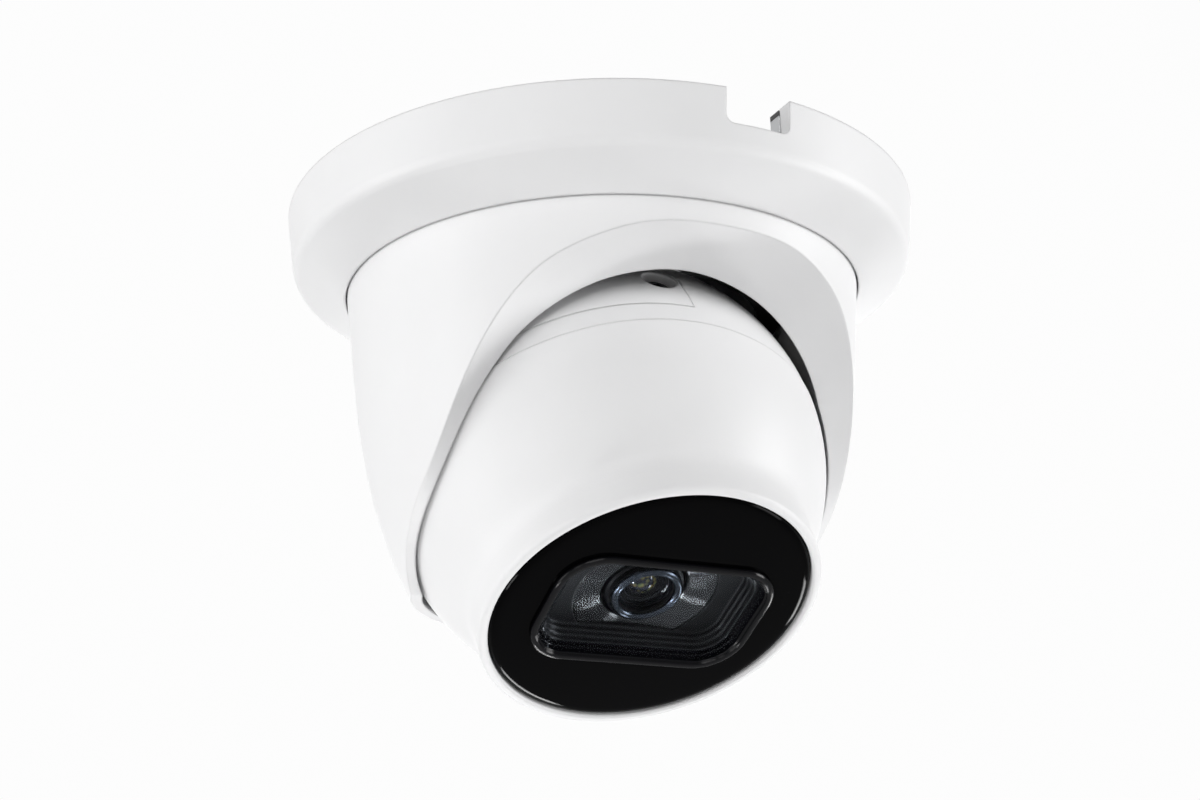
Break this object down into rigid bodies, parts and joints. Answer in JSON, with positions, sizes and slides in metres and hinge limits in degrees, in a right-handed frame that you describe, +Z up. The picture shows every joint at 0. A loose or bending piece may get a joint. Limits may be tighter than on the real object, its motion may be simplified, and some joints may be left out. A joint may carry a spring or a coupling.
{
  "type": "dome security camera",
  "caption": "Ceiling-mounted turret camera: flange with cable notch, panning cup with arched brow, tilting ball with lens window.",
  "frame": {"origin": "centre of the mounting face, which lies on the ceiling", "axes": "+Z up into the ceiling along the pan axis, -Y to the cup's front and the cable notch, +X to the object's left as it faces outwards"},
  "size_m": [0.122, 0.1217, 0.0951],
  "materials": {
    "white_plastic": "satin white moulded plastic",
    "white_metal": "white powder coat on die-cast aluminium",
    "black_acrylic": "gloss black, infrared-clear acrylic",
    "frame_black": "gloss black",
    "matte_black": "matte black moulding",
    "window_clear": "clear coated window",
    "lens_glass": "coated optical glass",
    "lens_metal": "satin anodised",
    "black_rubber": "soft black rubber",
    "grey_foam": "closed-cell foam",
    "cast_base": "die-cast, bare",
    "acetal": "natural acetal",
    "steel_screw": "zinc-plated steel",
    "black_screw": "black oxide steel",
    "circuit_board": "solder-masked glass-fibre board",
    "chip_black": "moulded package",
    "thermal_grey": "silicone thermal pad",
    "fin_aluminium": "machined aluminium",
    "nickel_shell": "nickel-plated connector shell",
    "led_epoxy": "dark tinted epoxy",
    "filter_glass": "coated filter glass",
    "sensor_glass": "image sensor cover glass",
    "lead_jacket": "lead jacket"
  },
  "bodies": {
    "base": {"trim_ring": "white_plastic", "mounting_base": "cast_base", "wall_gasket": "grey_foam", "lock_screw": "steel_screw", "pan_slip_ring": "acetal"},
    "cup": {"cup_shell": "white_plastic", "ball_seat_ring": "black_rubber", "seat_clamp_ring": "cast_base", "clamp_screws": "steel_screw", "lip_pads": "black_rubber"},
    "ball_rear": {"rear_shell": "white_metal", "access_cover": "white_metal", "cover_gasket": "black_rubber", "cover_screws": "black_screw", "cable_gland": "black_rubber", "gland_nut": "acetal", "main_board": "circuit_board", "board_screws": "steel_screw", "processor": "chip_black", "thermal_pad": "thermal_grey", "heat_spreader": "fin_aluminium", "network_header": "acetal", "lead_connector": "chip_black", "card_socket": "nickel_shell", "reset_switch": "chip_black"},
    "memory_card": {"memory_card": "chip_black"},
    "reset_button": {"reset_button": "acetal"},
    "ball_front": {"front_shell": "white_metal", "swivel_ring": "acetal", "swivel_screws": "steel_screw", "swivel_seal": "black_rubber", "front_panel": "black_acrylic", "panel_gasket": "grey_foam", "window_frame": "frame_black", "lens_window": "window_clear", "lens_shroud": "matte_black", "light_baffle": "grey_foam", "lens_barrel": "matte_black", "lens_front_ring": "lens_metal", "lens_front_element": "lens_glass", "lens_rear_element": "lens_glass", "lens_holder": "matte_black", "ircut_coil": "chip_black", "chassis_plate": "fin_aluminium", "sensor_board": "circuit_board", "sensor_board_screws": "steel_screw", "image_sensor": "sensor_glass", "led_board": "circuit_board", "ir_leds": "led_epoxy", "light_sensor": "chip_black", "microphone": "nickel_shell", "axial_lead": "lead_jacket"},
    "filter_tray": {"ircut_tray": "matte_black", "ircut_filters": "filter_glass"}
  },
  "joints": [
    {"name": "pan", "type": "hinge", "parent": "base", "child": "cup", "pos_m": [0, 0, -0.012], "axis": [0, 0, 1], "range_deg": [-180, 180]},
    {"name": "tilt", "type": "hinge", "parent": "cup", "child": "ball_rear", "pos_m": [0, 0, -0.05075], "axis": [-1, 0, 0], "range_deg": [-28.15, 49.85]},
    {"name": "rotation", "type": "hinge", "parent": "ball_rear", "child": "ball_front", "pos_m": [0, 0, -0.05075], "axis": [0, -0.4718, -0.8817], "range_deg": [-180, 180]},
    {"name": "card_slide", "type": "slide", "parent": "ball_rear", "child": "memory_card", "axis": [-0.5592, -0.731, 0.3911], "range_m": [0, 0.003]},
    {"name": "reset_press", "type": "slide", "parent": "ball_rear", "child": "reset_button", "axis": [0.866, 0.4409, -0.2359], "range_m": [0, 0.0004], "stiffness_N_per_m": 400},
    {"name": "filter_shift", "type": "slide", "parent": "ball_front", "child": "filter_tray", "axis": [1, 0, 0], "range_m": [0, 0.006]}
  ]
}
